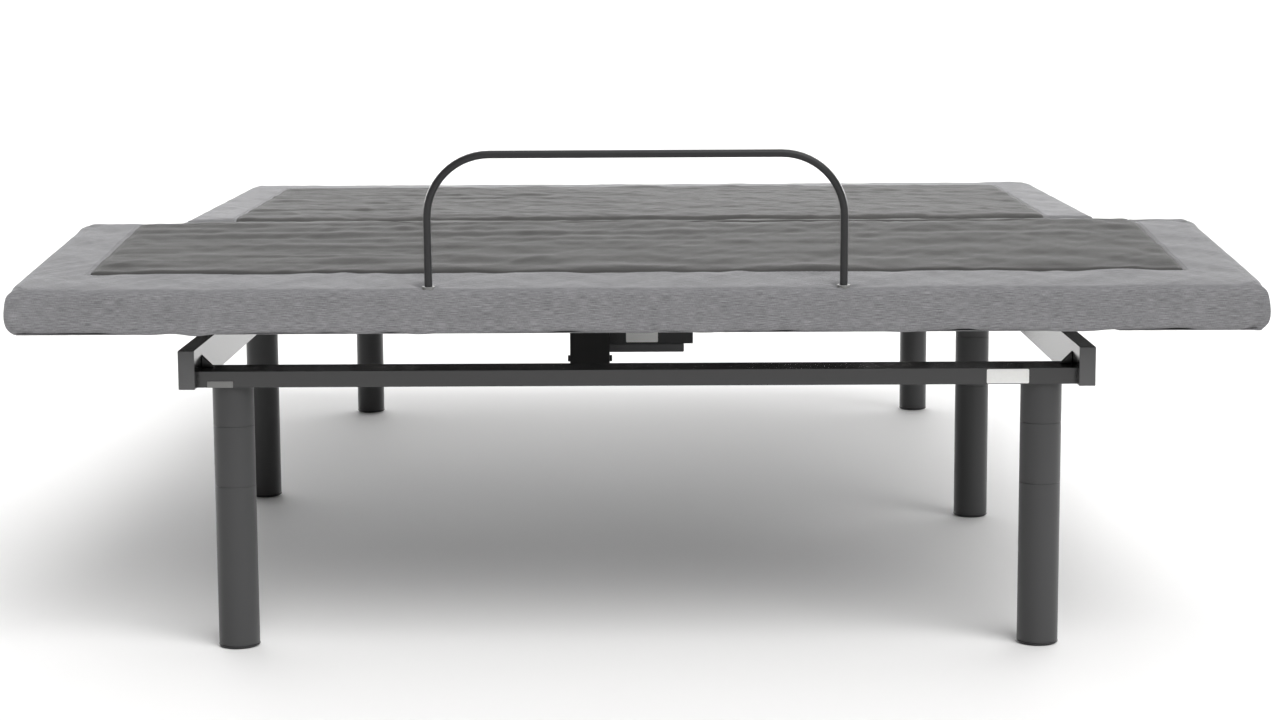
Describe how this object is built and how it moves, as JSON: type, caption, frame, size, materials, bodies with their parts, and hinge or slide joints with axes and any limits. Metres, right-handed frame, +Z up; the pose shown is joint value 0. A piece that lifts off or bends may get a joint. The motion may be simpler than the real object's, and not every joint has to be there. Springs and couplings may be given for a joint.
{
  "type": "adjustable bed base",
  "caption": "Adjustable bed base with upholstered head, seat, thigh and foot sections that lift on two drives, on a steel frame with stacked tube legs and a mattress retainer bar.",
  "frame": {"origin": "on the floor under the middle of the bed's length and width", "axes": "+X across the bed, -Y towards the foot end, +Z up"},
  "size_m": [1.524, 2.039, 0.6277],
  "materials": {
    "border_cloth": "light grey melange woven cloth",
    "inset_cloth": "dark charcoal stretch cloth",
    "panel_board": "particle board with a thin black facing",
    "frame_paint": "charcoal powder coat",
    "zinc": "bright zinc plate",
    "black_plastic": "moulded, fine grain",
    "grey_plastic": "moulded, fine grain",
    "circuit_board": "lacquered circuit board"
  },
  "bodies": {
    "root": {"side_rail_left": "frame_paint", "side_rail_right": "frame_paint", "front_cross_rail": "frame_paint", "rear_cross_rail": "frame_paint", "head_motor_cross_rail": "frame_paint", "leg_motor_cross_rail": "frame_paint", "rail_end_caps": "black_plastic", "corner_gussets": "frame_paint", "left_leg_bracket": "frame_paint", "right_leg_bracket": "frame_paint", "head_motor_bracket": "frame_paint", "leg_motor_bracket": "frame_paint", "pivot_pins": "black_plastic", "leg_upper_segments": "frame_paint", "leg_middle_segments": "frame_paint", "leg_lower_segments": "frame_paint", "leg_glides": "black_plastic", "leg_studs": "zinc", "leg_nuts": "zinc", "rail_edge_clip": "grey_plastic", "seat_board": "panel_board", "seat_pad": "border_cloth", "seat_inset": "inset_cloth", "seat_bolts": "zinc", "seat_hinge_leaves": "zinc", "seat_hinge_pins": "zinc", "control_box": "black_plastic", "control_box_lid": "black_plastic", "control_circuit_board": "circuit_board", "power_inlet": "black_plastic"},
    "head_section": {"head_board": "panel_board", "head_pad": "border_cloth", "head_inset": "inset_cloth", "head_frame": "frame_paint", "head_lift_lever": "frame_paint", "head_hinge_leaves": "zinc"},
    "thigh_section": {"thigh_board": "panel_board", "thigh_pad": "border_cloth", "thigh_inset": "inset_cloth", "thigh_frame": "frame_paint", "thigh_lift_lever": "frame_paint", "thigh_hinge_leaves": "zinc", "knee_hinge_pins": "zinc"},
    "foot_section": {"foot_board": "panel_board", "foot_pad": "border_cloth", "foot_inset": "inset_cloth", "foot_frame": "frame_paint", "foot_hinge_leaves": "zinc", "retainer_bar": "frame_paint", "retainer_ferrules": "zinc", "retainer_nuts": "zinc", "foot_link_ears": "frame_paint"},
    "foot_link_left": {"foot_link_left": "frame_paint"},
    "foot_link_right": {"foot_link_right": "frame_paint"},
    "head_drive": {"head_gearbox": "black_plastic", "head_motor_cover": "grey_plastic"},
    "head_rod": {"head_push_rod": "zinc"},
    "leg_drive": {"leg_gearbox": "black_plastic", "leg_motor_cover": "grey_plastic"},
    "leg_rod": {"leg_push_rod": "zinc"}
  },
  "joints": [
    {"name": "head_lift", "type": "hinge", "parent": "root", "child": "head_section", "pos_m": [0, 0.22746, 0.403], "axis": [1, 0, 0], "range_deg": [0, 60]},
    {"name": "thigh_lift", "type": "hinge", "parent": "root", "child": "thigh_section", "pos_m": [0, -0.14054, 0.403], "axis": [-1, 0, 0], "range_deg": [-9.15, 28.8]},
    {"name": "knee_fold", "type": "hinge", "parent": "thigh_section", "child": "foot_section", "pos_m": [0, -0.5514, 0.44321], "axis": [1, 0, 0], "range_deg": [-14.14, 44.4]},
    {"name": "foot_link_left_swing", "type": "hinge", "parent": "root", "child": "foot_link_left", "pos_m": [0, -0.36754, 0.367], "axis": [-1, 0, 0], "range_deg": [-11.08, 34.75]},
    {"name": "foot_link_right_swing", "type": "hinge", "parent": "root", "child": "foot_link_right", "pos_m": [0, -0.36754, 0.367], "axis": [-1, 0, 0], "range_deg": [-11.08, 34.75]},
    {"name": "head_drive_tilt", "type": "hinge", "parent": "root", "child": "head_drive", "pos_m": [-0.077, -0.09154, 0.246], "axis": [1, 0, 0], "range_deg": [-0.05, 7.76]},
    {"name": "head_rod_extend", "type": "slide", "parent": "head_drive", "child": "head_rod", "axis": [0, 0.996, 0.089], "range_m": [-0.0001, 0.11267]},
    {"name": "leg_drive_tilt", "type": "hinge", "parent": "root", "child": "leg_drive", "pos_m": [0.124, 0.11946, 0.303], "axis": [-1, 0, 0], "range_deg": [-1.29, 3.95]},
    {"name": "leg_rod_extend", "type": "slide", "parent": "leg_drive", "child": "leg_rod", "axis": [0, -0.9926, 0.1218], "range_m": [-0.00965, 0.03016]}
  ],
  "couplings": [
    {"joint": "knee_fold", "follows": "thigh_lift", "ratio": 1.54},
    {"joint": "foot_link_left_swing", "follows": "thigh_lift", "ratio": 1.205},
    {"joint": "foot_link_right_swing", "follows": "thigh_lift", "ratio": 1.205},
    {"joint": "leg_drive_tilt", "follows": "thigh_lift", "ratio": 0.1355},
    {"joint": "leg_rod_extend", "follows": "thigh_lift", "m_per_rad": 0.0598},
    {"joint": "head_drive_tilt", "follows": "head_lift", "ratio": 0.1285},
    {"joint": "head_rod_extend", "follows": "head_lift", "m_per_rad": 0.1075}
  ]
}
